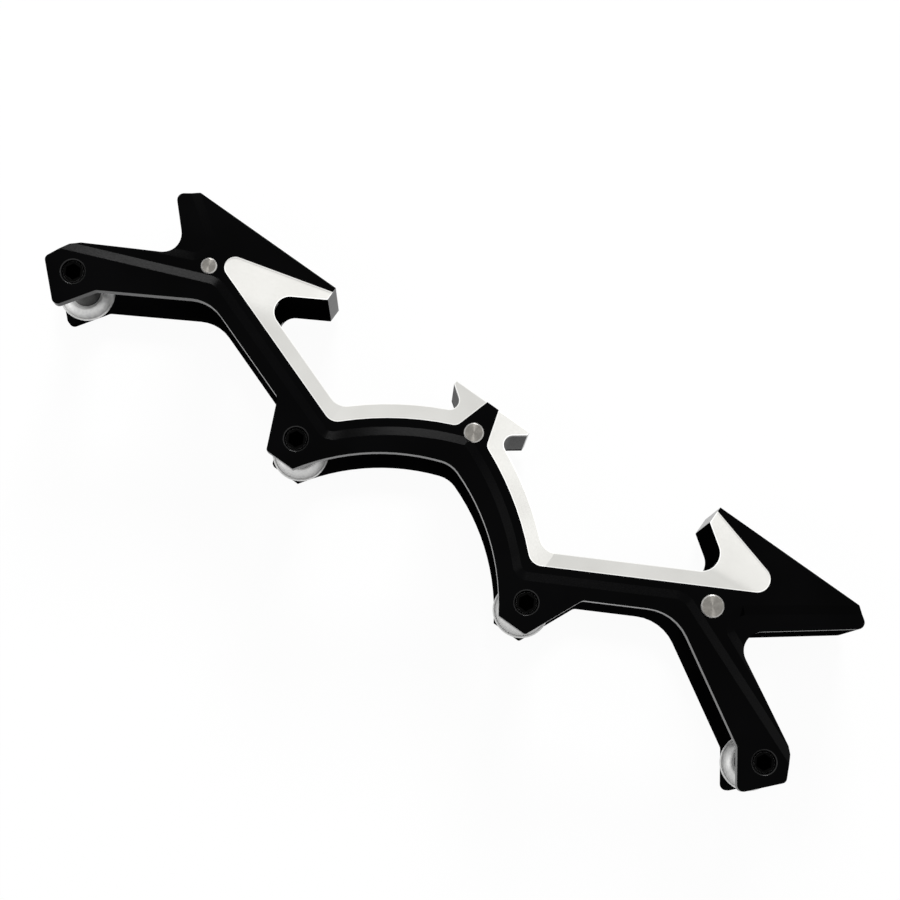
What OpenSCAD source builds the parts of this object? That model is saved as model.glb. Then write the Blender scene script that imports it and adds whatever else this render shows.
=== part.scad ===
// Inline skate frame for four wheels: two machined rails, three bridge blocks, side pins and axles.
// X runs from toe to heel, Y from the left rail to the right rail, Z up to the boot.
// The origin is under the middle of the wheelbase, at the height of the lowest lugs.

/* [Axles] */
// Distance between neighbouring axles; the wheelbase is three of these
axle_pitch = 77; // [76:0.5:79]
// How far the two inner axles sit below the outer two
rocker = 2; // [0:0.5:3]
// Shaft diameter of an axle, as a common skate bearing needs it
axle_d = 8; // [7:0.5:8]
// Running clearance around an axle, on the radius
axle_clear = 0.05; // [0.02:0.01:0.1]
// Diameter of the threaded end that screws into the left rail
thread_d = 6.4; // [6:0.1:6.8]
// Diameter of the flush axle head in the right rail
axle_head_d = 10.4; // [10:0.1:11]
// Width across the flats of the hex socket in each axle end
axle_hex = 4; // [3:0.5:4]
// Depth of the hex sockets
hex_depth = 4; // [3:0.5:6]

/* [Wheel room] */
// Diameter of the largest wheel the bays leave room for
wheel_d = 76; // [68:1:76]
// Air between such a wheel and the blocks above it
wheel_air = 1.6; // [1:0.1:3]
// Diameter of the turned cones on the right rail, which the bearings run against
cone_d = 16; // [14:0.5:17]
// Diameter of the cones on the left rail
cone_left_d = 12.6; // [12.5:0.1:14]
// Diameter of the flat land at the top of a cone
cone_land_d = 9.6; // [9.2:0.1:10.5]
// Clear distance between two facing cones: two bearings and their spacer, with some play
cone_gap = 24.5; // [24:0.1:25.5]

/* [Rails] */
// Width over both rails
overall_w = 36; // [35.5:0.5:38]
// Clear width between the rails
inner_gap = 28; // [27:0.5:28.5]
// Step from the legs and lugs down to the middle field
field_step = 1.1; // [0.7:0.1:1.2]
// Step from the middle field down to the horns
horn_step = 0.9; // [0.6:0.1:1]
// Width of the bevels that make these steps
bevel_w = 2.5; // [2:0.1:2.7]
// Depth of the bright cut panels below the middle field
panel_cut = 0.3; // [0.2:0.05:0.5]
// Width of the bright panels on the legs and the arch
panel_w = 4; // [3.5:0.1:4.5]
// Width of the sloping legs between the inner and the outer axles
leg_w = 12; // [11.5:0.1:12.6]
// Slope of the leg that rises to the toe deck
toe_leg_angle = 19.5; // [17:0.5:21]
// Slope of the leg that rises to the heel deck
heel_leg_angle = 28.5; // [26:0.5:30]
// Radius of the lower edge of the pointed arch
arch_r = 62.2; // [60:0.2:65]

/* [Decks] */
// Height of the toe deck above the inner axles
toe_deck = 40.4; // [39:0.1:42]
// Height of the heel deck above the inner axles
heel_deck = 52.1; // [50:0.1:54]
// Height of the centre bridge above the inner axles
centre_deck = 38.8; // [37.5:0.1:40]
// Length of the centre bridge
centre_len = 24.6; // [23:0.2:28]
// Distance between the two boot bolts
mount_pitch = 165; // [163:0.5:168]
// How far the boot bolts sit behind the middle of the wheelbase
mount_shift = 6.25; // [5:0.25:7]
// Thickness of the toe and heel blocks
deck_t = 9; // [8:0.5:10]
// Width of the slots for the boot bolts
slot_w = 8.4; // [8.2:0.1:9]
// Length of the slots across the frame
slot_len = 15; // [12:0.5:18]
// Width of the sunk seat for the boot bolt head, from below
seat_w = 14; // [13:0.5:16]
// Depth of that seat
seat_depth = 3; // [2:0.5:4]

/* [Side pins] */
// Diameter of the toe pins
toe_pin_d = 4.5; // [4:0.1:5]
// Diameter of the centre pins
centre_pin_d = 5.5; // [5:0.1:6]
// Diameter of the heel pins
heel_pin_d = 6.4; // [5.5:0.1:7]
// How far a pin head stands out of the middle field
pin_proud = 0.4; // [0.2:0.1:0.6]
// How far a pin reaches into its block
pin_reach = 3; // [2.5:0.1:3.4]
// Clearance around a pin, on the radius
pin_clear = 0.02; // [0.01:0.01:0.05]

/* [Hidden] */
$fn = 96;

// Small overlaps that keep joined and cut shapes from ending on the same face
lap = 0.6;
// A length that reaches past the frame in any direction
far = axle_pitch * 2;
// Largest turn between two points of an outline, on wide arcs and on small rounds
wide_arc = 20;
wide_turn = 3;
small_turn = 10;
TOE = 0;
HEEL = 1;

// Levels of a rail, measured outward from its inner face
wall = (overall_w - inner_gap) / 2;
field_z = wall - field_step;
horn_z = field_z - horn_step;
panel_z = field_z - panel_cut;

// Axles, seen from the side; each half is drawn towards +X and the toe half is mirrored
inner_axle = [axle_pitch / 2, 0];
outer_axle = [axle_pitch * 1.5, rocker];

// Inner lugs: flat foot under the axle, with a steep outer edge
inner_drop = 7.3;
inner_foot_in = 4.1;
inner_foot_out = 4.7;
inner_edge_a = 66;
// Outer lugs of the toe and the heel: shoulder, chamfer, nose, rounded foot and neck, from the outer axle
outer_drop = 10;
shoulder = [outer_axle + [3.2, 7.9], outer_axle + [3, 7.5]];
lug_chamfer = [outer_axle + [5.5, 5.8], outer_axle + [4.6, 5.9]];
lug_nose = [outer_axle + [8.8, -1.2], outer_axle + [7.9, -1]];
foot_round = [1.65, 1.8];
foot_back = [1.05, 1.15];
lug_neck = [outer_axle + [-8.2, -0.6], outer_axle + [-8.3, -0.8]];
leg_top_a = 29;
leg_low_a = 30.5;
lift = max(outer_drop - rocker, inner_drop);

// Sloping legs: heights above the inner axle, square to the leg
leg_low = 2.4;
leg_high = leg_low + leg_w;
panel_low = leg_high - panel_w;
leg_strip = 2;
field_low = panel_low - leg_strip;
leg_a = [toe_leg_angle, heel_leg_angle];

// Centre bridge, from its top down: the tips of its hooks, its neck, and the stem between the panels
centre_tip_t = 1.1;
centre_tip = [centre_len / 2, centre_deck - centre_tip_t];
centre_hook_a = 36;
centre_hook_round = 2.6;
centre_neck = 10.91;
centre_neck_run = (centre_len - centre_neck) / 2;
centre_neck_at = centre_tip - [centre_neck_run, centre_neck_run * tan(centre_hook_a)];
centre_t = 14.8;
stem_top = 1.9;
stem_low = 5;
stem_h = 10.4;
stem_low_z = centre_deck - stem_h;
stem_round = 2.6;

// Pointed arch: each half of its lower edge turns around a point beyond the middle
arch_depth = 40.4;
arch_reach = sqrt(pow(arch_r, 2) - pow(arch_depth - inner_drop, 2));
arch_c = [inner_axle[0] - inner_foot_in - arch_reach, -arch_depth];
arch_round = 8;
// The upper edge, the panel and the bevel of the arch turn around a lower point; the upper edge meets the
// hooks of the centre bridge at its neck
band_depth = 50;
band_back = 66.4;
band_c = [inner_axle[0] - band_back, -band_depth];
band_r = norm(centre_neck_at - band_c);
band_strip = 2.4;
band_panel_r = band_r - panel_w;
band_field_r = band_panel_r - band_strip;
valley_round = 5;

// Decks: ends, hooks and horns of the toe and the heel side
deck = [toe_deck, heel_deck];
mount_x = [mount_pitch / 2 - mount_shift, mount_pitch / 2 + mount_shift];
deck_in = 22.05;
deck_out = 24;
tip_t = [4, 5];
hook_a = [30.3, 35];
hook_round = [4.3, 5];
horn_a = [46, 37];
horn_reach = 5.6;
horn_fall = 3.9;
horn_end_round = 1.9;
notch_round = 5.3;
bay_round = [11, 13];
corner_round = 1.5;
small_round = 0.8;
neck_round = 2;

// Bevels and panels; the steps are the flats that a bevel takes around a bend
field_a = 22.2;
field_start = outer_axle + [3.1, 7.25];
field_round = 8;
field_nook = 2.5;
field_steps = 3;
horn_line_a = 35.5;
horn_low_a = 24;
horn_round = 3.5;
horn_steps = 5;
horn_runout = 15;
panel_a = 15;
panel_drop = [1.4, 1.3];
panel_round = [3, 3.7];
panel_nook = 4;

// Pins, from the corner of the middle field
pin_off = [[4.4, 0.85], [7.75, 0.6]];
pin_d = [toe_pin_d, heel_pin_d];
centre_pin_drop = 9.1;
centre_pin_at = [0, centre_deck - centre_pin_drop];
pin_chamfer = 0.35;
pin_end_air = 0.1;
ear_floor = 0.3;
ear_t = pin_reach + pin_end_air + ear_floor;
ear_r = 5.2;
ear_top_w = 16;

// Axle ends and cones
axle_recess = 0.6;
axle_chamfer = 0.4;
shoulder_air = 0.1;
hole_flare = 0.3;
head_share = 0.5;
head_clear = 0.15;
axle_head_t = wall * head_share;
cone_h = (inner_gap - cone_gap) / 2;
cone_rim = 0.7;
cone_rim_chamfer = 0.25;
cone_lip_w = 0.6;
cone_groove = 0.3;
flare_steps = 8;
cone_spigot_d = 12;
spigot_share = 0.15;
cone_spigot_h = wall * spigot_share;

// Geometry helpers
function unit(v) = v / norm(v);
function ray(a) = [cos(a), sin(a)];
function left_of(a) = [-sin(a), cos(a)];
function cross2(u, v) = u[0] * v[1] - u[1] * v[0];
function meet(p, a, q, b) = p + ray(a) * cross2(q - p, ray(b)) / cross2(ray(a), ray(b));
function along(p, a, c, r) =
  let (w = p - c, b = w * ray(a)) p + ray(a) * (sqrt(b * b - w * w + r * r) - b);
function xy(p) = [p[0], p[1]];
function angle_of(v) = atan2(v[1], v[0]);
// Direction of the line from p that touches a circle on its left (1) or right (-1)
function touch_a(p, c, r, side) = angle_of(c - p) + side * asin(r / norm(c - p));

// Points of one side of the frame
function leg_line(s, off) = inner_axle + off * left_of(leg_a[s]);
function tip_x(s) = mount_x[s] - deck_in;
function out_x(s) = mount_x[s] + deck_out;
function tip_low(s) = [tip_x(s), deck[s] - tip_t[s]];
function horn_low(s) = [out_x(s) + horn_reach, deck[s] - horn_fall];
function foot_mid(s) = outer_axle + [-foot_back[s], foot_round[s] - outer_drop];
function lug_foot(s) =
  let (m = foot_mid(s), r = foot_round[s])
  meet(lug_nose[s], touch_a(lug_nose[s], m, r, 1), lug_neck[s], touch_a(lug_neck[s], m, r, -1));
function bay(s) = meet(leg_line(s, leg_low), leg_a[s], lug_neck[s], 180 - leg_low_a);
function notch(s) = meet(shoulder[s], 180 - leg_top_a, horn_low(s), horn_a[s]);
function hook(s) = meet(tip_low(s), -hook_a[s], leg_line(s, leg_high), leg_a[s]);
function field_corner(s) = meet(leg_line(s, field_low), leg_a[s], field_start, 180 - field_a);
function panel_tip(s) = [tip_x(s), deck[s] - panel_drop[s]];
function panel_corner(s) = meet(leg_line(s, panel_low), leg_a[s], panel_tip(s), -panel_a);
function pin_at(s) = field_corner(s) + pin_off[s];

// Points along an arc, closer together on large radii
function arc_pts(c, r, from, to) =
  let (n = max(2, ceil(abs(to - from) / (r > wide_arc ? wide_turn : small_turn))))
  [for (i = [0 : n]) c + r * ray(from + (to - from) * i / n)];
function turned(from, to) = (to - from + 540) % 360 - 180;
function round_pts(a, b, c, r) =
  let (u = unit(a - b), v = unit(c - b), half = acos(u * v) / 2, m = b + unit(u + v) * r / sin(half),
    from = angle_of(b + u * r / tan(half) - m), to = angle_of(b + v * r / tan(half) - m))
  arc_pts(m, r, from, from + turned(from, to));
// An open line of [x, y, round] points with its corners rounded
function soft(pts) =
  [for (i = [0 : len(pts) - 1]) each pts[i][2] == 0 ? [xy(pts[i])] :
    round_pts(xy(pts[i - 1]), xy(pts[i]), xy(pts[i + 1]), pts[i][2])];
// Centre of a round between a straight line and the outside of a circle; side tells where the air is
function nook_mid(p, a, side, c, big, r) = along(p + left_of(a) * side * r, a, c, big + r);
// Centre of the round under the crown of a pointed arch
function crown_mid(big, r) = [0, sqrt(pow(big - r, 2) - pow(arch_c[0], 2)) - arch_depth];
function mirrored(pts) = [for (i = [len(pts) - 1 : -1 : 0]) [-pts[i][0], pts[i][1]]];

// Outline of one side, clockwise from the top of the centre bridge to the crown of the arch
function side_pts(s) =
  let (
    hook_m = nook_mid(centre_tip, centre_hook_a, -1, band_c, band_r, centre_hook_round),
    valley_m = nook_mid(leg_line(s, leg_high), leg_a[s], 1, band_c, band_r, valley_round),
    foot_in = inner_axle - [inner_foot_in, inner_drop],
    foot_out = inner_axle + [inner_foot_out, -inner_drop],
    crown_m = crown_mid(arch_r, arch_round),
    crown_a = angle_of(crown_m - arch_c)
  ) concat(
    [[centre_len / 2, centre_deck], centre_tip],
    arc_pts(hook_m, centre_hook_round, 90 + centre_hook_a, 360 + angle_of(band_c - hook_m)),
    arc_pts(band_c, band_r, angle_of(hook_m - band_c), angle_of(valley_m - band_c)),
    arc_pts(valley_m, valley_round, angle_of(band_c - valley_m), leg_a[s] - 90),
    soft([
      concat(valley_m - left_of(leg_a[s]) * valley_round + ray(leg_a[s]), 0),
      concat(hook(s), hook_round[s]),
      concat(tip_low(s), small_round / 2),
      [tip_x(s), deck[s], 0],
      [out_x(s), deck[s], small_round],
      concat(horn_low(s), horn_end_round),
      concat(notch(s), notch_round),
      concat(shoulder[s], small_round),
      concat(lug_chamfer[s], small_round),
      concat(lug_nose[s], corner_round),
      concat(lug_foot(s), foot_round[s]),
      concat(lug_neck[s], neck_round),
      concat(bay(s), bay_round[s]),
      concat(meet(leg_line(s, leg_low), leg_a[s], foot_out, inner_edge_a), neck_round),
      concat(foot_out, small_round),
      concat(foot_in, 0)
    ]),
    arc_pts(arch_c, arch_r, angle_of(foot_in - arch_c), crown_a),
    arc_pts(crown_m, arch_round, crown_a, 90)
  );

module side_outline(s) {
  polygon(concat([[0, centre_deck]], side_pts(s)));
}

module rail_outline() {
  polygon(concat(side_pts(HEEL), mirrored(side_pts(TOE))));
}

module disc(c, r) {
  translate(c) circle(r);
}

// Everything above one level, on one side; the floor of each cut comes from here
module lid(low) {
  translate([-lap, -inner_drop, low]) cube([far, far, wall + lap - low]);
}

// How far a bevel between two levels has moved sideways at height z
function bevel_at(low, high, z) = bevel_w * (z - low) / (high - low);

// All that lies above a bevel: its low edge runs through p along a, the high side is on the right
module slab(p, a, before, after, low, high) {
  base = low - lap;
  top = wall + 2 * lap;
  translate(concat(p - before * ray(a), 0)) rotate([0, 0, a]) rotate([90, 0, 90])
    linear_extrude(before + after)
    polygon([
      [-bevel_at(low, high, base), base], [-bevel_at(low, high, top), top],
      [far, top], [far, base]
    ]);
}

// The raised band inside the bevel along the arch
module arch_plug(r, low, high) {
  base = low - lap;
  top = wall + 2 * lap;
  translate(concat(band_c, base))
    cylinder(h = top - base, r1 = r - bevel_at(low, high, base), r2 = r - bevel_at(low, high, top));
}

// The middle field with its bevel, from the arch over the sloping leg to the outer lug
module field_cut(s) {
  nook_m = nook_mid(leg_line(s, field_low), leg_a[s], 1, band_c, band_field_r, field_nook);
  nook_a = angle_of(nook_m - band_c);
  nook_turn = (90 + leg_a[s] - nook_a) / field_steps;
  nook_low = nook_a + nook_turn;
  nook_high = nook_low + nook_turn;
  bend = leg_a[s] + field_a;
  bend_m = field_corner(s) + field_round / cos(bend / 2) * ray((leg_a[s] - field_a) / 2 - 90);
  bend_step = bend / field_steps;
  bend_run = field_round * tan(bend_step);
  difference() {
    intersection() {
      lid(field_z);
      slab(nook_m - field_nook * ray(nook_low), nook_low - 90, far, far, field_z, wall);
      slab(nook_m - field_nook * ray(nook_high), nook_high - 90, far, far, field_z, wall);
      slab(leg_line(s, field_low), leg_a[s], far, far, field_z, wall);
    }
    arch_plug(band_field_r, field_z, wall);
  }
  for (a = [bend_step : bend_step : bend - 1]) intersection() {
    lid(field_z);
    slab(bend_m + field_round * left_of(a - field_a), a - field_a, bend_run, bend_run, field_z, wall);
  }
  intersection() {
    lid(field_z);
    slab(field_corner(s), -field_a, bend_run, far, field_z, wall);
  }
}

// The horn, cut down to its own level, with a bevel around it
module horn_cut(s) {
  start = [out_x(s), deck[s]] + bevel_w * left_of(horn_line_a - 180);
  runout = shoulder[s] + horn_runout * ray(180 - leg_top_a) + bevel_w * left_of(-horn_low_a);
  turn = meet(start, horn_line_a, runout, -horn_low_a);
  m = turn + horn_round / sin((horn_line_a + horn_low_a) / 2) * ray((horn_line_a - horn_low_a) / 2);
  step = (180 - horn_line_a - horn_low_a) / horn_steps;
  intersection() {
    lid(horn_z);
    intersection_for (k = [0 : horn_steps])
      let (a = horn_line_a - 180 + k * step)
      slab(m - horn_round * left_of(a), a, far, far, horn_z, field_z);
  }
}

// The bright panel, cut a little below the middle field
module panel_cut_side(s) {
  nook_m = nook_mid(leg_line(s, panel_low), leg_a[s], 1, band_c, band_panel_r, panel_nook);
  stem_a = angle_of([stem_top - stem_low, centre_deck - stem_low_z]);
  stem_m = nook_mid([stem_low, stem_low_z], stem_a, -1, band_c, band_panel_r, stem_round);
  past = deck_in / 4;
  translate([0, 0, panel_z]) linear_extrude(wall) polygon(concat(
    [[stem_top, centre_deck + past]],
    [[stem_top, centre_deck]],
    arc_pts(stem_m, stem_round, stem_a + 90, 360 + angle_of(band_c - stem_m)),
    arc_pts(band_c, band_panel_r, angle_of(stem_m - band_c), angle_of(nook_m - band_c)),
    arc_pts(nook_m, panel_nook, angle_of(band_c - nook_m), leg_a[s] - 90),
    soft([
      concat(nook_m - left_of(leg_a[s]) * panel_nook + ray(leg_a[s]), 0),
      concat(panel_corner(s), panel_round[s]),
      [tip_x(s) - past, deck[s] - panel_drop[s] + past * tan(panel_a), 0]
    ]),
    [[tip_x(s) - past, deck[HEEL]]]
  ));
}

module place(p) {
  translate(concat(p, 0)) children();
}

function axle_xz(i) =
  i == 1 ? [-outer_axle[0], outer_axle[1]] :
  i == 2 ? [-inner_axle[0], inner_axle[1]] :
  i == 3 ? inner_axle : outer_axle;

// An axle hole from the cone seat to the outer face, as one turned shape that ends in the given profile
module axle_hole(end) {
  seat = cone_spigot_d / 2 + pin_clear;
  rotate_extrude() polygon(concat(
    [[0, -lap], [seat, -lap], [seat, cone_spigot_h]],
    end,
    [[0, wall + lap]]
  ));
}

module pin_hole(d) {
  translate([0, 0, -lap]) cylinder(h = wall + 2 * lap, d = d + 2 * pin_clear);
}

// A rail's plate with its levels cut, before any hole
module rail_plate() {
  difference() {
    linear_extrude(wall) rail_outline();
    for (s = [TOE, HEEL]) mirror([s == TOE ? 1 : 0, 0, 0]) {
      field_cut(s);
      horn_cut(s);
      panel_cut_side(s);
    }
  }
}

// One rail lying on its inner face
module rail(hole_end) {
  difference() {
    rail_plate();
    for (s = [TOE, HEEL]) mirror([s == TOE ? 1 : 0, 0, 0]) place(pin_at(s)) pin_hole(pin_d[s]);
    place(centre_pin_at) pin_hole(centre_pin_d);
    for (i = [1 : 4]) place(axle_xz(i)) axle_hole(hole_end);
  }
}

// Stands a side view up and puts its inner face against one side of the gap
module stand(side) {
  translate([0, side * inner_gap / 2, lift]) mirror([0, side < 0 ? 0 : 1, 0])
    rotate([90, 0, 0]) children();
}

// The left holes take the threaded ends and flare out at the surface
module left_rail() {
  bore = thread_d / 2 + axle_clear;
  color("#1d1d20") stand(-1)
    rail([[bore, cone_spigot_h], [bore, wall - hole_flare], [bore + hole_flare + lap, wall + lap]]);
}

// The right holes are sunk for the axle heads
module right_rail() {
  bore = axle_d / 2 + axle_clear;
  sink = axle_head_d / 2 + head_clear;
  color("#1d1d20") stand(1)
    rail([
      [bore, cone_spigot_h], [bore, wall - axle_head_t],
      [sink, wall - axle_head_t], [sink, wall + lap]
    ]);
}

// Side view of a block: the rail outline down to the block's depth, clear of the wheels
module block_outline(s) {
  long = deck_in + deck_out + horn_reach;
  difference() {
    intersection() {
      side_outline(s);
      translate([tip_x(s) - lap, deck[s] - deck_t]) square([long + 2 * lap, deck_t + lap]);
    }
    disc(inner_axle, wheel_d / 2 + wheel_air);
    disc(outer_axle, wheel_d / 2 + wheel_air);
  }
}

// Ear that carries a side pin, hidden behind the rail
module ear_outline(s) {
  top = [mount_x[s], deck[s] - deck_t + lap];
  intersection() {
    side_outline(s);
    union() {
      disc(pin_at(s), ear_r);
      polygon([
        pin_at(s) - [ear_r, 0], pin_at(s) + [ear_r, 0],
        top + [ear_top_w / 2, 0], top - [ear_top_w / 2, 0]
      ]);
    }
  }
}

// Blind hole for a pin in a block, from the inner face of the rail inward
module pin_socket(d) {
  translate([0, 0, -pin_reach - pin_end_air])
    cylinder(h = pin_reach + pin_end_air + lap, d = d + 2 * pin_clear);
}

// A slot across the frame: two round ends and the straight part between them
module slot(w, l, h) {
  translate([-w / 2, -(l - w) / 2, 0]) cube([w, l - w, h]);
  for (y = [-1, 1]) translate([0, y * (l - w) / 2, 0]) cylinder(h = h, d = w);
}

module deck_block(s) {
  difference() {
    translate([0, inner_gap / 2, lift]) rotate([90, 0, 0]) union() {
      linear_extrude(inner_gap) block_outline(s);
      for (y = [0, inner_gap - ear_t]) translate([0, 0, y]) linear_extrude(ear_t) ear_outline(s);
    }
    translate([mount_x[s], 0, lift + deck[s] - deck_t - lap]) {
      slot(slot_w, slot_len, deck_t + 2 * lap);
      slot(seat_w, slot_len + seat_w - slot_w, seat_depth + lap);
    }
    for (side = [-1, 1]) stand(side) place(pin_at(s)) pin_socket(pin_d[s]);
  }
}

module toe_block() {
  color("#222226") mirror([1, 0, 0]) deck_block(TOE);
}

module heel_block() {
  color("#222226") deck_block(HEEL);
}

module centre_block() {
  color("#222226") difference() {
    translate([0, inner_gap / 2, lift]) rotate([90, 0, 0]) linear_extrude(inner_gap) difference() {
      intersection() {
        rail_outline();
        translate([-centre_len / 2 - lap, centre_deck - centre_t])
          square([centre_len + 2 * lap, centre_t + lap]);
      }
      for (x = [-1, 1]) disc([x * inner_axle[0], 0], wheel_d / 2 + wheel_air);
    }
    for (side = [-1, 1]) stand(side) place(centre_pin_at) pin_socket(centre_pin_d);
  }
}

// A short turned pin with a chamfered head
module pin(d) {
  head = field_z + pin_proud;
  rotate_extrude() polygon([[0, -pin_reach], [d / 2, -pin_reach], [d / 2, head - pin_chamfer],
    [d / 2 - pin_chamfer, head], [0, head]]);
}

module toe_pin(side) {
  color("#d6d6d8") stand(side) mirror([1, 0, 0]) place(pin_at(TOE)) pin(toe_pin_d);
}

module centre_pin(side) {
  color("#d6d6d8") stand(side) place(centre_pin_at) pin(centre_pin_d);
}

module heel_pin(side) {
  color("#d6d6d8") stand(side) place(pin_at(HEEL)) pin(heel_pin_d);
}

module toe_pin_left() { toe_pin(-1); }
module toe_pin_right() { toe_pin(1); }
module centre_pin_left() { centre_pin(-1); }
module centre_pin_right() { centre_pin(1); }
module heel_pin_left() { heel_pin(-1); }
module heel_pin_right() { heel_pin(1); }

module hex_socket(from) {
  translate([0, 0, from]) cylinder(h = hex_depth + lap, d = axle_hex / cos(30), $fn = 6);
}

// An axle along Y: flush head in the right rail, thinner threaded end in the left, hex socket in both
module axle(i) {
  left = -overall_w / 2 + axle_recess;
  right = overall_w / 2;
  stop = -inner_gap / 2 - cone_spigot_h + shoulder_air;
  shaft = axle_d / 2;
  thread = thread_d / 2;
  head = axle_head_d / 2;
  color("#2a2a2d") translate([axle_xz(i)[0], 0, axle_xz(i)[1] + lift]) rotate([-90, 0, 0]) difference() {
    rotate_extrude() polygon([
      [0, left], [thread - axle_chamfer, left], [thread, left + axle_chamfer],
      [thread, stop], [shaft, stop],
      [shaft, right - axle_head_t], [head, right - axle_head_t],
      [head, right - pin_chamfer], [head - pin_chamfer, right], [0, right]
    ]);
    hex_socket(left - lap);
    hex_socket(right - hex_depth);
  }
}

module axle_1() { axle(1); }
module axle_2() { axle(2); }
module axle_3() { axle(3); }
module axle_4() { axle(4); }

// Hollow flare between two points of a turned profile: square to the land at one end, flat at the other
function flare(from, to) = [
  for (k = [0 : flare_steps])
    let (a = 90 * k / flare_steps)
    [to[0] - (to[0] - from[0]) * cos(a), from[1] + (to[1] - from[1]) * sin(a)]
];

// A turned cone on the inner face of a rail: land, flare, groove and lip, and a spigot in the rail
module cone(i, side) {
  bore = axle_d / 2 + axle_clear;
  edge = (side < 0 ? cone_left_d : cone_d) / 2;
  spigot = cone_spigot_d / 2;
  color("#c9cacd") stand(side) place(axle_xz(i)) rotate_extrude() polygon(concat(
    [[bore, -cone_h]],
    flare([cone_land_d / 2, -cone_h], [edge - cone_lip_w, cone_groove - cone_rim]),
    [[edge - cone_lip_w, -cone_rim], [edge - cone_rim_chamfer, -cone_rim]],
    [[edge, cone_rim_chamfer - cone_rim], [edge, 0]],
    [[spigot, 0], [spigot, cone_spigot_h], [bore, cone_spigot_h]]
  ));
}

module cone_1_left() { cone(1, -1); }
module cone_1_right() { cone(1, 1); }
module cone_2_left() { cone(2, -1); }
module cone_2_right() { cone(2, 1); }
module cone_3_left() { cone(3, -1); }
module cone_3_right() { cone(3, 1); }
module cone_4_left() { cone(4, -1); }
module cone_4_right() { cone(4, 1); }

left_rail();
right_rail();
toe_block();
centre_block();
heel_block();
toe_pin_left();
toe_pin_right();
centre_pin_left();
centre_pin_right();
heel_pin_left();
heel_pin_right();
axle_1();
axle_2();
axle_3();
axle_4();
cone_1_left();
cone_1_right();
cone_2_left();
cone_2_right();
cone_3_left();
cone_3_right();
cone_4_left();
cone_4_right();
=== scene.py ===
# %% [markdown]
# # An inline skate frame in black and bright aluminium
#
# The object is the metal frame that sits under an inline skate's boot and carries its wheels. It is
# milled from aluminium, dyed black, and then cut once more so that bright panels show along its upper
# edge. The shape comes from the CAD model. This lesson gives it its finishes, a camera and light.

# %% Load the CAD model
import math

import bpy
from mathutils import Matrix, Vector


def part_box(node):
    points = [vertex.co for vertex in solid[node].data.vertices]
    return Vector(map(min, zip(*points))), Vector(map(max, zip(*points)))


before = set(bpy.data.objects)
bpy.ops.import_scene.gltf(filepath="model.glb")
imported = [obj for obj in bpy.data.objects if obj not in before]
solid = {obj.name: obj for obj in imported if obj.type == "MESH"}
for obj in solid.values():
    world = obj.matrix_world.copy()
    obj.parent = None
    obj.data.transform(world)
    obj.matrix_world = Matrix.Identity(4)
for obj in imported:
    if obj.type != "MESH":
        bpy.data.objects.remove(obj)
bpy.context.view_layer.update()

MM = 0.001


def in_mm(box):
    """The two corners of a box in rounded millimetres, to print."""
    return [[round(v / MM, 2) for v in corner] for corner in box]


# %% [markdown]
# ## The camera
#
# In the photograph the frame lies on its side and is seen almost straight from its left, with its row
# of axles about 35 degrees off level. A camera could be aimed by eye, but a small slip shows at once on
# such a long thin object. So the three directions of the camera (right, up and backwards) and its place
# were worked out from the axle ends, which are 77 mm apart, and the edges around them. They are written
# here as one matrix.

# %% Place the camera
RIGHT = Vector((0.81493203, -0.02020234, 0.57920432))
UP = Vector((-0.57669661, -0.12742864, 0.80695908))
BACK = Vector((0.05750476, -0.99164198, -0.1154963))
EYE = Vector((35.914, -680.387, -47.249)) * MM
SENSOR_MM = 36
LENS_MM = 97.914
NEAREST = 10 * MM


def facing(right, up, back, place):
    """The matrix of a camera or a lamp with these three directions, at this place."""
    matrix = Matrix((right, up, back)).transposed().to_4x4()
    matrix.translation = place
    return matrix


lens = bpy.data.cameras.new("camera")
lens.sensor_width = SENSOR_MM
lens.lens = LENS_MM
lens.clip_start = NEAREST
camera = bpy.data.objects.new("camera", lens)
camera.matrix_world = facing(RIGHT, UP, BACK, EYE)
bpy.context.collection.objects.link(camera)
bpy.context.scene.camera = camera
print("camera at", [round(v, 3) for v in EYE], "m, lens", LENS_MM, "mm")

# %% [markdown]
# ## Smooth rounds, crisp edges
#
# The CAD model arrives as flat facets whose corners aren't joined. If it were shaded as it is, each
# round would show its flats, and if all of it were smoothed, the crisp milled edges would look soft.
# A Weld modifier joins the corners, and an Edge Split modifier parts them again only where two faces
# turn by more than a small angle. Both are modifiers, so no corner of the CAD mesh is moved. Normals
# that came with the mesh are taken off, because they would win over the smoothing.

# %% Join the facets and keep the sharp edges
CREASE = math.radians(12.5)
SAME_CORNER = 0.001 * MM
for piece in solid.values():
    mesh = piece.data
    if "custom_normal" in mesh.attributes:
        mesh.attributes.remove(mesh.attributes["custom_normal"])
    mesh.polygons.foreach_set("use_smooth", [True] * len(mesh.polygons))
    weld = piece.modifiers.new("join corners", "WELD")
    weld.merge_threshold = SAME_CORNER
    split = piece.modifiers.new("keep creases", "EDGE_SPLIT")
    split.split_angle = CREASE
    split.use_edge_sharp = False
print("facets:", sum(len(piece.data.polygons) for piece in solid.values()))

# %% [markdown]
# ## Tools for a finish
#
# A finish is a small network of nodes that ends in a Principled shader. Each network could be wired by
# hand, but most finishes on metal need the same few things: some arithmetic, a noise, a tint between
# two tones and a shallow bump. Each is a short function here, so that a finish below reads like a
# recipe. They work in the object's own metres, so the grain keeps its size from any side.

# %% Helpers for values
MIX_SOCKETS = {"VECTOR": (4, 5, 1), "RGBA": (6, 7, 2)}


def feed(tree, value, socket):
    """Links another socket to this one, or writes a plain value on it."""
    if isinstance(value, bpy.types.NodeSocket):
        tree.links.new(value, socket)
    else:
        socket.default_value = value


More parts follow.
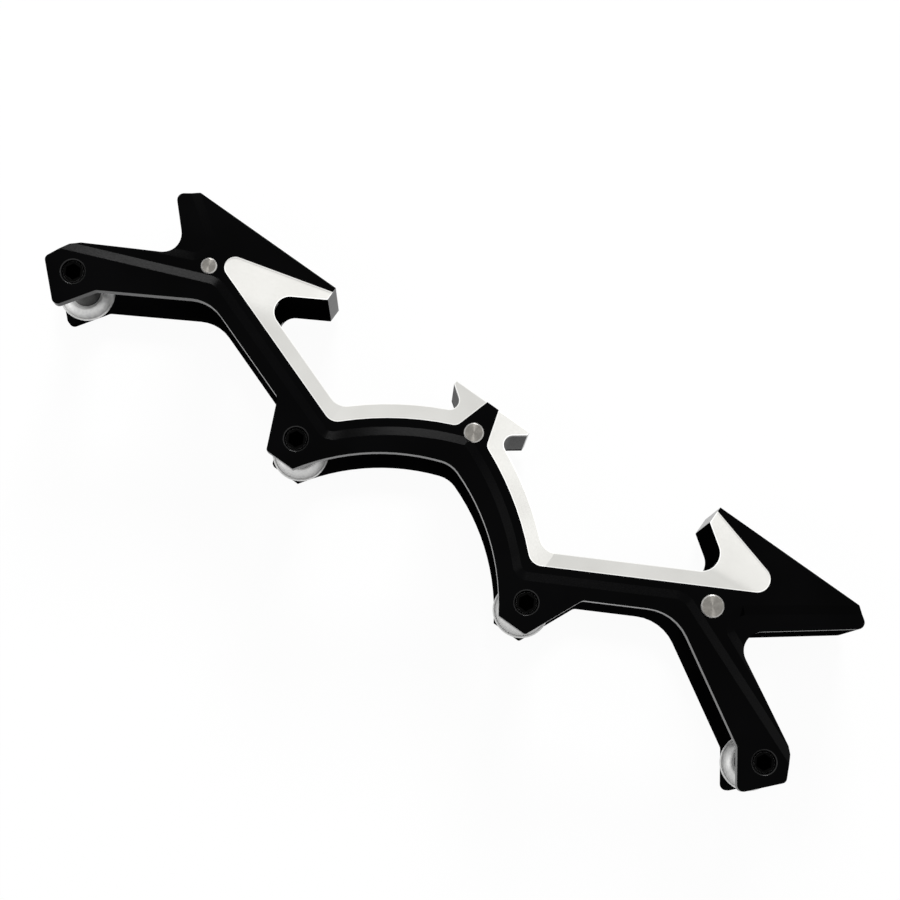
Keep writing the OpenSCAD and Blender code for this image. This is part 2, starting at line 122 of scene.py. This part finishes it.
def worked_out(tree, operation, first, second=None):
    """The result of one Math node on sockets or numbers."""
    step = tree.nodes.new("ShaderNodeMath")
    step.operation = operation
    feed(tree, first, step.inputs[0])
    if second is not None:
        feed(tree, second, step.inputs[1])
    return step.outputs["Value"]


def fitted(tree, value, span, onto=(0.0, 1.0), curve="LINEAR"):
    """A value moved from one span onto another and held at its ends."""
    fit = tree.nodes.new("ShaderNodeMapRange")
    fit.interpolation_type = curve
    for name, number in zip(("From Min", "From Max", "To Min", "To Max"), (*span, *onto)):
        fit.inputs[name].default_value = number
    feed(tree, value, fit.inputs["Value"])
    return fit.outputs["Result"]


def mixed(tree, kind, amount, first, second):
    """A mix of two vectors or two colours; the Mix node has other sockets for each kind."""
    blend = tree.nodes.new("ShaderNodeMix")
    blend.data_type = kind
    at_first, at_second, at_result = MIX_SOCKETS[kind]
    feed(tree, amount, blend.inputs[0])
    feed(tree, first, blend.inputs[at_first])
    feed(tree, second, blend.inputs[at_second])
    return blend.outputs[at_result]


print("value helpers:", [f.__name__ for f in (feed, worked_out, fitted, mixed)])

# %% Helpers for finishes
NOISE_SPAN = (0.3, 0.7)
TINT_STOPS = (0.35, 0.65)
BUMP_STRENGTH = 0.5
ROUND_SAMPLES = 6
FINE_DETAIL = 3


def new_finish(name):
    """A new material, its node tree and the Principled shader that it comes with."""
    finish = bpy.data.materials.new(name)
    finish.use_nodes = True
    return finish, finish.node_tree, finish.node_tree.nodes["Principled BSDF"]


def metres(tree):
    """The place on the object, in its own metres."""
    return tree.nodes.new("ShaderNodeTexCoord").outputs["Object"]


def noise(tree, place, waves, detail=2.0):
    """A noise with about that many waves in a metre."""
    grain = tree.nodes.new("ShaderNodeTexNoise")
    grain.inputs["Scale"].default_value = waves
    grain.inputs["Detail"].default_value = detail
    feed(tree, place, grain.inputs["Vector"])
    return grain.outputs["Fac"]


def uneven(tree, value, middle, reach):
    """A number that a noise moves around its middle."""
    return fitted(tree, value, NOISE_SPAN, (middle - reach, middle + reach))


def tint(tree, value, tones):
    """A colour that a noise moves between a dark and a light tone."""
    ramp = tree.nodes.new("ShaderNodeValToRGB")
    for stop, position, tone in zip(ramp.color_ramp.elements, TINT_STOPS, tones):
        stop.position = position
        stop.color = (*tone, 1)
    feed(tree, value, ramp.inputs["Fac"])
    return ramp.outputs["Color"]


def relief(tree, height, depth, edge=0.0):
    """A bump of that depth, over edges that are rounded by that radius."""
    bump = tree.nodes.new("ShaderNodeBump")
    bump.inputs["Strength"].default_value = BUMP_STRENGTH
    bump.inputs["Distance"].default_value = depth
    feed(tree, height, bump.inputs["Height"])
    if edge:
        bevel = tree.nodes.new("ShaderNodeBevel")
        bevel.samples = ROUND_SAMPLES
        bevel.inputs["Radius"].default_value = edge
        feed(tree, bevel.outputs["Normal"], bump.inputs["Normal"])
    return bump.outputs["Normal"]


def grey(level):
    """A colour with no hue."""
    return (level, level, level)


def dress(piece, *finishes):
    """Gives a piece these finishes, a slot for each, in place of what it had."""
    piece.data.materials.clear()
    for finish in finishes:
        piece.data.materials.append(finish)


print("finish helpers:", [f.__name__ for f in (noise, uneven, tint, relief, dress)])

# %% [markdown]
# ## Black anodised aluminium
#
# Anodising grows a thin hard skin on the metal, and dye turns it black. Up close it isn't one even
# tone: the skin is slightly cloudy, and fine milling marks under it break up the gloss. A plain dark
# shader would look like plastic. Here a large soft noise moves the black a little, a fine noise
# roughens it, and a very shallow bump keeps the reflections from being perfectly straight. The Bevel
# node rounds the shading of each edge by a hair, as a real broken edge does. The rails have the most
# gloss, the blocks between them less, and a matt kind is kept for faces that see little light.

# %% Make the black finish
CLOUDS = 45
MILL_MARKS = 2600
MARK_DEPTH = 0.004 * MM
BROKEN_EDGE = 0.2 * MM
SKIN_WAVER = 0.05
RAIL_TONES = ((0.0008, 0.0008, 0.0009), (0.0016, 0.0016, 0.0018))
BLOCK_TONES = ((0.001, 0.001, 0.0011), (0.002, 0.002, 0.0022))


def black_anodised(name, tones, rough, shine):
    """A black skin between two tones, with this roughness and strength of reflection."""
    finish, tree, shader = new_finish(name)
    place = metres(tree)
    clouds = noise(tree, place, CLOUDS)
    marks = noise(tree, place, MILL_MARKS, FINE_DETAIL)
    feed(tree, tint(tree, clouds, tones), shader.inputs["Base Color"])
    feed(tree, uneven(tree, marks, rough, SKIN_WAVER), shader.inputs["Roughness"])
    feed(tree, relief(tree, marks, MARK_DEPTH, BROKEN_EDGE), shader.inputs["Normal"])
    shader.inputs["Specular IOR Level"].default_value = shine
    return finish


rail_black = black_anodised("black_anodised_rail", RAIL_TONES, rough=0.2, shine=0.02)
block_black = black_anodised("black_anodised_centre", BLOCK_TONES, rough=0.4, shine=0.02)
matt_black = black_anodised("black_anodised_matt", BLOCK_TONES, rough=0.6, shine=0.0)
black_pieces = [name for name in solid if name.endswith(("rail", "block"))]
for name in black_pieces:
    dress(solid[name], rail_black if name.endswith("rail") else block_black)
print("black pieces:", black_pieces)

# %% [markdown]
# ## Bright cut panels
#
# After dyeing, a cutter takes a shallow pass along the upper edges, and bare aluminium shows. It leaves
# very fine marks across its run, so the light stretches along the run, and a panel changes its
# brightness where the cutter turned. Marks this fine can't be drawn one by one. The shader's
# Anisotropic setting stretches the light instead, and its Tangent says which way: around the arch, up
# each leg, and aslant over the two wings and the heel half of the arch, which look brightest.

# %% Find the run of the cutter
ARCH_CENTRE_X, ARCH_CENTRE_Z = -27.9 * MM, -42 * MM
ARCH_END = 33.7 * MM
LEG_SLOPE = math.radians(24)
WING_SPAN = (33.5 * MM, 40.5 * MM)
WING_SLOPE = 0.0926
WING_RUN = (-0.58, 0, 0.81)
HEEL_ARCH_FROM, HEEL_ARCH_TO = 2 * MM, 37 * MM


def in_plane(tree, x, z):
    """A direction in the plane of the rails."""
    way = tree.nodes.new("ShaderNodeCombineXYZ")
    feed(tree, x, way.inputs["X"])
    feed(tree, z, way.inputs["Z"])
    return way.outputs["Vector"]


def run_of_cutter(tree, place):
    """The direction of the cut at each place of a panel."""
    def calc(operation, first, second=None):
        """One step of the sum in this tree."""
        return worked_out(tree, operation, first, second)

    at = tree.nodes.new("ShaderNodeSeparateXYZ")
    feed(tree, place, at.inputs["Vector"])
    x, z = at.outputs["X"], at.outputs["Z"]
    half = calc("ABSOLUTE", x)
    side = calc("SIGN", x)
    above = calc("ADD", z, -ARCH_CENTRE_Z)
    beside = calc("ADD", half, -ARCH_CENTRE_X)
    around_arch = in_plane(tree, calc("MULTIPLY", above, side), calc("MULTIPLY", beside, -1.0))
    up_leg = in_plane(tree, calc("MULTIPLY", side, math.cos(LEG_SLOPE)), math.sin(LEG_SLOPE))
    past_arch = calc("GREATER_THAN", half, ARCH_END)
    band = mixed(tree, "VECTOR", past_arch, around_arch, up_leg)
    height = calc("ADD", z, calc("MULTIPLY", x, -WING_SLOPE))
    wing = calc("MULTIPLY", fitted(tree, height, WING_SPAN, curve="SMOOTHSTEP"), past_arch)
    from_middle = calc("GREATER_THAN", x, HEEL_ARCH_FROM)
    heel_arch = calc("MULTIPLY", from_middle, calc("LESS_THAN", x, HEEL_ARCH_TO))
    return mixed(tree, "VECTOR", calc("MAXIMUM", wing, heel_arch), band, WING_RUN)


print("the cut turns", round(ARCH_END / MM, 1), "mm from the middle, into legs of",
      round(math.degrees(LEG_SLOPE)), "degrees")

# %% [markdown]
# ## The bare metal of the cut
#
# The cut metal is even and pale, and a painted highlight makes its edges lighter still. Thin strips of
# mesh along each edge would do, but the CAD mesh is kept as it is. The Bevel node turns the shading only
# near an edge, so it makes the mask for the painted highlight. The cut ends of the blocks are the same bare
# metal, darker with painted shade, with one kind for the toe block and one for the other two. The flared
# mouths of the axle holes are greyer than the rails: a black skin with lighter tones, a painted highlight
# for the light on their slant, and a stronger reflection.

# %% Make the cut finish
CUTTER_LINES = 1800
LINE_DEPTH = 0.001 * MM
PANEL_CLOUDS = 60
METAL_WAVER = 0.03
EDGE_HIGHLIGHT_WIDTH = 0.6 * MM
RIM_SAMPLES = 8
RIM_TURN = (0.998, 0.95)
PANEL_TONES = ((0.63, 0.625, 0.60), (0.69, 0.685, 0.66))
# Painted highlight: the pale colour laid along the edges of the cut.
PANEL_EDGE_HIGHLIGHT = (0.95, 0.95, 0.93)


def edge_mask(tree, width):
    """1 close to an edge and 0 away from it, from how far the Bevel node turns the surface."""
    bevel = tree.nodes.new("ShaderNodeBevel")
    bevel.samples = RIM_SAMPLES
    bevel.inputs["Radius"].default_value = width
    surface = tree.nodes.new("ShaderNodeNewGeometry")
    same_way = tree.nodes.new("ShaderNodeVectorMath")
    same_way.operation = "DOT_PRODUCT"
    feed(tree, bevel.outputs["Normal"], same_way.inputs[0])
    feed(tree, surface.outputs["True Normal"], same_way.inputs[1])
    return fitted(tree, same_way.outputs["Value"], RIM_TURN)


def cut_aluminium(name, tones, rim, rough, stretch):
    """Bare metal between two tones with a painted edge highlight; stretch draws its light along the run."""
    finish, tree, shader = new_finish(name)
    place = metres(tree)
    lines = noise(tree, place, CUTTER_LINES, FINE_DETAIL)
    metal = tint(tree, noise(tree, place, PANEL_CLOUDS), tones)
    # The rim colour is a painted highlight, mixed in along the edges by the edge mask.
    with_edge_highlight = mixed(tree, "RGBA", edge_mask(tree, EDGE_HIGHLIGHT_WIDTH), metal, (*rim, 1))
    feed(tree, with_edge_highlight, shader.inputs["Base Color"])
    feed(tree, uneven(tree, lines, rough, METAL_WAVER), shader.inputs["Roughness"])
    feed(tree, relief(tree, lines, LINE_DEPTH), shader.inputs["Normal"])
    feed(tree, run_of_cutter(tree, place), shader.inputs["Tangent"])
    shader.inputs["Anisotropic"].default_value = stretch
    shader.inputs["Metallic"].default_value = 1.0
    return finish


# Painted shade: the cut ends are the panels' bare metal in darker tones, the toe end darker than the heel
# ends.
TOE_END_SHADE_TONES = (grey(0.08), grey(0.10))
HEEL_END_SHADE_TONES = (grey(0.19), grey(0.23))
# Painted highlight: the flares get lighter tones than the rails for the light their slant catches.
FLARE_HIGHLIGHT_TONES = (grey(0.006), grey(0.012))
cut_bright = cut_aluminium("bright_cut_panel", PANEL_TONES, PANEL_EDGE_HIGHLIGHT, rough=0.4, stretch=0.6)
toe_end_in_shade = cut_aluminium("bright_cut_toe_end", TOE_END_SHADE_TONES, grey(0.17), rough=0.5, stretch=0.0)
heel_end_in_shade = cut_aluminium("bright_cut_heel_end", HEEL_END_SHADE_TONES, grey(0.32), rough=0.3, stretch=0.0)
flare_painted_highlight = black_anodised("flare_painted_highlight", FLARE_HIGHLIGHT_TONES, rough=0.22, shine=0.3)
print("cut finishes:", [finish.name for finish in (cut_bright, toe_end_in_shade, heel_end_in_shade, flare_painted_highlight)])

# %% [markdown]
# ## Which face gets which finish
#
# A rail is black outside, bright on its panels and lighter around its axle holes, with a painted
# highlight on their flares. It could be cut apart by finish, but then it wouldn't be the real piece any
# more. A material slot for each finish keeps it whole. Each face is sorted by its place and the way it
# looks: the floor of a panel lies at one known depth, a cut end looks along the frame, and the face of a
# flare slants around an axle. The undersides of the deck hooks and of the right rail are matt, and so is
# most of the toe and heel blocks.

# %% Measure where the finish changes
PANEL_FLOOR = 16.6 * MM
PANEL_TOP = 16.9 * MM
NEAR = 0.02 * MM
FLARE_R = 4.2 * MM
UPRIGHT = 0.1
SQUARE_ON = 0.999
LOOKS_DOWN = -0.1
SLANT_FROM, SLANT_TO = 0.3, 0.9
TOE_END_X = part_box("toe_block")[1][0]
HEEL_ENDS_X = (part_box("heel_block")[0][0], *(corner[0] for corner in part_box("centre_block")))
DECK_HOOKS = ((-80 * MM, -50 * MM, 33 * MM), (60 * MM, 95 * MM, 40 * MM))
NEVER = -1
MATT_BELOW = {"right_rail": -0.1, "toe_block": 0.5, "heel_block": 0.5}
AXLES = []
for number in range(1, 5):
    low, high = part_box("axle_" + str(number))
    AXLES.append(((low[0] + high[0]) / 2, (low[2] + high[2]) / 2))
print("axles at x, z in mm:", in_mm(AXLES))

# %% Give each face its slot
BLACK, PANEL, TOE_END, HEEL_END, MATT, FLARE = range(6)


def finish_of(face, points, matt_below):
    """The slot of a face on a rail or a block."""
    depths = [abs(points[i].co.y) for i in face.vertices]
    in_cut = min(depths) > PANEL_FLOOR - NEAR and max(depths) < PANEL_TOP + NEAR
    if in_cut and (max(depths) < PANEL_FLOOR + NEAR or abs(face.normal.y) < UPRIGHT):
        return PANEL
    x, z = face.center.x, face.center.z
    if abs(face.normal.x) > SQUARE_ON:
        if abs(x - TOE_END_X) < NEAR:
            return TOE_END
        if any(abs(x - end) < NEAR for end in HEEL_ENDS_X):
            return HEEL_END
    on_hook = any(low < x < high and z > bottom for low, high, bottom in DECK_HOOKS)
    if on_hook and face.normal.z < LOOKS_DOWN:
        return MATT
    if face.normal.z < matt_below and abs(face.normal.y) < UPRIGHT:
        return MATT
    at_axle = any(math.hypot(x - axle_x, z - axle_z) < FLARE_R for axle_x, axle_z in AXLES)
    if at_axle and SLANT_FROM < -face.normal.y < SLANT_TO:
        return FLARE
    return BLACK


for name in black_pieces:
    mesh = solid[name].data
    for finish in (cut_bright, toe_end_in_shade, heel_end_in_shade, matt_black, flare_painted_highlight):
        mesh.materials.append(finish)
    matt_below = MATT_BELOW.get(name, NEVER)
    slots = [finish_of(face, mesh.vertices, matt_below) for face in mesh.polygons]
    mesh.polygons.foreach_set("material_index", slots)
    print(name, "faces by slot:", [slots.count(slot) for slot in range(6)])

# %% [markdown]
# ## Turned cones and pins
#
# The cones that the wheel bearings run against, and the pins that show on the rails, are made on a
# lathe. The tool leaves fine rings, and light draws bright fans across them. Rings this fine can't be
# drawn one by one at this size. The Anisotropic setting stands for them too: the Tangent node says that
# they run around the Y axis, and a quarter turn lays the stretched light across them. The chamfer of a
# pin is brighter than its end, so it has a kind of its own: a lighter copy of the pin metal, which paints
# the highlight that the chamfer catches.

# %% Make the turned finish
LATHE_GRAIN = 1500
RING_DEPTH = 0.0002 * MM
TURNED_EDGE = 0.1 * MM
QUARTER_TURN = 0.25
CONE_TONES = (grey(0.54), (0.62, 0.62, 0.61))
PIN_TONES = ((0.21, 0.20, 0.185), (0.25, 0.24, 0.22))
# Painted highlight: the chamfer's tones are a lighter copy of the pin metal.
PIN_RIM_HIGHLIGHT_TONES = ((0.50, 0.49, 0.47), (0.58, 0.57, 0.55))


def turned(name, tones, rough, rings):
    """Metal from a lathe between two tones; rings is how strongly they stretch the light."""
    finish, tree, shader = new_finish(name)
    grain = noise(tree, metres(tree), LATHE_GRAIN, FINE_DETAIL)
    feed(tree, tint(tree, grain, tones), shader.inputs["Base Color"])
    feed(tree, uneven(tree, grain, rough, METAL_WAVER), shader.inputs["Roughness"])
    feed(tree, relief(tree, grain, RING_DEPTH, TURNED_EDGE), shader.inputs["Normal"])
    around = tree.nodes.new("ShaderNodeTangent")
    around.direction_type = "RADIAL"
    around.axis = "Y"
    feed(tree, around.outputs["Tangent"], shader.inputs["Tangent"])
    shader.inputs["Anisotropic"].default_value = rings
    shader.inputs["Anisotropic Rotation"].default_value = QUARTER_TURN
    shader.inputs["Metallic"].default_value = 1.0
    return finish


cone_bright = turned("turned_cone", CONE_TONES, rough=0.4, rings=0.5)
pin_bright = turned("turned_pin", PIN_TONES, rough=0.38, rings=0.85)
pin_rim_highlight = turned("turned_rim_painted_highlight", PIN_RIM_HIGHLIGHT_TONES, rough=0.3, rings=0.5)
print("turned finishes:", [finish.name for finish in (cone_bright, pin_bright, pin_rim_highlight)])

# %% Dress the cones and pins
def is_rim(face):
    """True on a chamfer around the Y axis."""
    return SLANT_FROM < abs(face.normal.y) < SLANT_TO


cones = [piece for name, piece in solid.items() if name.startswith("cone")]
pins = [piece for name, piece in solid.items() if "_pin_" in name]
for cone in cones:
    dress(cone, cone_bright)
for pin in pins:
    dress(pin, pin_bright, pin_rim_highlight)
    pin.data.polygons.foreach_set("material_index", [int(is_rim(face)) for face in pin.data.polygons])
print("cones:", len(cones), "pins:", len(pins))

# %% [markdown]
# ## Blackened axles
#
# The axles are steel with a thin black oxide skin, about as glossy as the rails, so the same recipe
# works for them. The chamfer around each end shows as a thin grey ring, so it takes the turned finish in
# dark tones, a painted highlight for the light that the chamfer catches. The hex sockets could have the
# same skin, but they are the darkest places, so they get a matt one of a deeper black, painted shade for
# the inside of the holes.

# %% Make the axle finish
AXLE_TONES = (grey(0.001), (0.002, 0.002, 0.0019))
# Painted shade: the sockets are a deeper black than the axle, for the shade inside the holes.
SOCKET_SHADE_TONES = (grey(0.0004), grey(0.0008))
# Painted highlight: the chamfer ring gets grey metal tones on the black axle, for the light it catches.
AXLE_RIM_HIGHLIGHT_TONES = (grey(0.10), grey(0.14))
SOCKET_R = 2.5 * MM
SOCKET = 2
axle_black = black_anodised("blackened_axle", AXLE_TONES, rough=0.24, shine=0.02)
socket_painted_shade = black_anodised("blackened_socket_painted_shade", SOCKET_SHADE_TONES, rough=0.5, shine=0.0)
axle_rim = turned("axle_rim_painted_highlight", AXLE_RIM_HIGHLIGHT_TONES, rough=0.3, rings=0.3)
for number, (x, z) in enumerate(AXLES, start=1):
    axle = solid["axle_" + str(number)]
    dress(axle, axle_black, axle_rim, socket_painted_shade)
    slots = []
    for face in axle.data.polygons:
        points = [axle.data.vertices[i].co for i in face.vertices]
        away = max(math.hypot(point.x - x, point.z - z) for point in points)
        slots.append(SOCKET if away < SOCKET_R else int(is_rim(face)))
    axle.data.polygons.foreach_set("material_index", slots)
    print("axle", number, "faces by slot:", [slots.count(slot) for slot in range(3)])

# %% [markdown]
# ## A white table
#
# The photograph was taken from above, with the frame lying on its right side, so the table is a plane
# beside the right rail. A plain white plane would block the light from behind and take a full shadow.
# This one is there only for rays from the camera, off shiny metal or through glass that meet its front.
# For all other rays, and from behind, it is clear. It glows a little below white and takes the rest from
# the lamps, so only a faint shadow stays on it.

# %% Lay the table
TABLE_GAP = 0.6 * MM
TABLE_HALF = 2.0
TABLE_GLOW = 0.95
TABLE_GREY = 0.06
table_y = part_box("right_rail")[1][1] + TABLE_GAP
corners = [(x * TABLE_HALF, table_y, z * TABLE_HALF) for x, z in ((-1, -1), (1, -1), (1, 1), (-1, 1))]
sheet = bpy.data.meshes.new("table")
sheet.from_pydata(corners, [], [(0, 1, 2, 3)])
table = bpy.data.objects.new("table", sheet)
bpy.context.collection.objects.link(table)
print("table at y =", round(table_y / MM, 2), "mm, facing", [round(v, 2) for v in sheet.polygons[0].normal])

# %% Make the table's finish
def sharp_rays(tree):
    """1 for rays from the camera, off shiny metal or through glass, and 0 for soft light."""
    ray = tree.nodes.new("ShaderNodeLightPath")
    sharp = worked_out(tree, "MAXIMUM", ray.outputs["Is Camera Ray"], ray.outputs["Is Glossy Ray"])
    return worked_out(tree, "MAXIMUM", sharp, ray.outputs["Is Transmission Ray"])


def either(tree, amount, first, second):
    """The first shader where amount is 0 and the second where it is 1."""
    pick = tree.nodes.new("ShaderNodeMixShader")
    feed(tree, amount, pick.inputs["Fac"])
    feed(tree, first, pick.inputs[1])
    feed(tree, second, pick.inputs[2])
    return pick.outputs["Shader"]


paper = bpy.data.materials.new("white_table")
paper.use_nodes = True
tree = paper.node_tree
tree.nodes.clear()
glow = tree.nodes.new("ShaderNodeEmission")
glow.inputs["Strength"].default_value = TABLE_GLOW
matt = tree.nodes.new("ShaderNodeBsdfDiffuse")
matt.inputs["Color"].default_value = (*grey(TABLE_GREY), 1)
white = tree.nodes.new("ShaderNodeAddShader")
feed(tree, glow.outputs["Emission"], white.inputs[0])
feed(tree, matt.outputs["BSDF"], white.inputs[1])
behind = tree.nodes.new("ShaderNodeNewGeometry").outputs["Backfacing"]
in_sight = worked_out(tree, "GREATER_THAN", sharp_rays(tree), behind)
clear = tree.nodes.new("ShaderNodeBsdfTransparent").outputs["BSDF"]
surface = either(tree, in_sight, clear, white.outputs["Shader"])
feed(tree, surface, tree.nodes.new("ShaderNodeOutputMaterial").inputs["Surface"])
table.data.materials.append(paper)
print("table finish:", paper.name, "glow", TABLE_GLOW)

# %% [markdown]
# ## A white room
#
# The studio is a white room. One even white world would be simple, but then soft light would come as
# strongly from everywhere, and the lamps would have little say. So the world is white for the same sharp
# rays that see the table, and a calm grey for soft light.

# %% Set the world
ROOM_WHITE = 1.0
ROOM_CALM = 0.4


def backdrop(tree, strength):
    """A white world of that strength."""
    sky = tree.nodes.new("ShaderNodeBackground")
    sky.inputs["Color"].default_value = (1, 1, 1, 1)
    sky.inputs["Strength"].default_value = strength
    return sky.outputs["Background"]


world = bpy.data.worlds.new("studio")
bpy.context.scene.world = world
world.use_nodes = True
tree = world.node_tree
tree.nodes.clear()
room = either(tree, sharp_rays(tree), backdrop(tree, ROOM_CALM), backdrop(tree, ROOM_WHITE))
feed(tree, room, tree.nodes.new("ShaderNodeOutputWorld").inputs["Surface"])
print("world:", world.name, "soft light", ROOM_CALM)

# %% [markdown]
# ## Lamps
#
# The bevels that face the upper edge of the picture are brighter than those that look away, so the main
# light of the studio is a large window there. Two weak lamps, at the right and at the left, lift faces
# that the window hardly reaches. A point lamp would be simpler, but its reflection is a dot, so each lamp
# is a rectangle. Its place is given as the camera sees it: right, up and towards the eye.

# %% Hang the lamps
def soft_lamp(name, towards, distance, size, watts):
    """A rectangular lamp in a direction given by the camera's right, up and back."""
    lamp = bpy.data.lights.new(name, "AREA")
    lamp.shape = "RECTANGLE"
    lamp.size, lamp.size_y = size
    lamp.energy = watts
    way = (RIGHT * towards[0] + UP * towards[1] + BACK * towards[2]).normalized()
    level = (RIGHT - way * RIGHT.dot(way)).normalized()
    holder = bpy.data.objects.new(name, lamp)
    holder.matrix_world = facing(level, way.cross(level), way, way * distance)
    bpy.context.collection.objects.link(holder)
    print(name, "at", [round(v, 2) for v in holder.location])


soft_lamp("window", (0.25, 1.69, 0.6), distance=1.8, size=(0.6, 0.45), watts=29)
soft_lamp("side_window", (1.0, 0.5, 0.6), distance=1.3, size=(0.4, 0.4), watts=1.5)
soft_lamp("left_fill", (-0.62, 0.05, 0.75), distance=1.2, size=(0.4, 0.4), watts=1.0)
bpy.context.scene.view_settings.view_transform = "Standard"
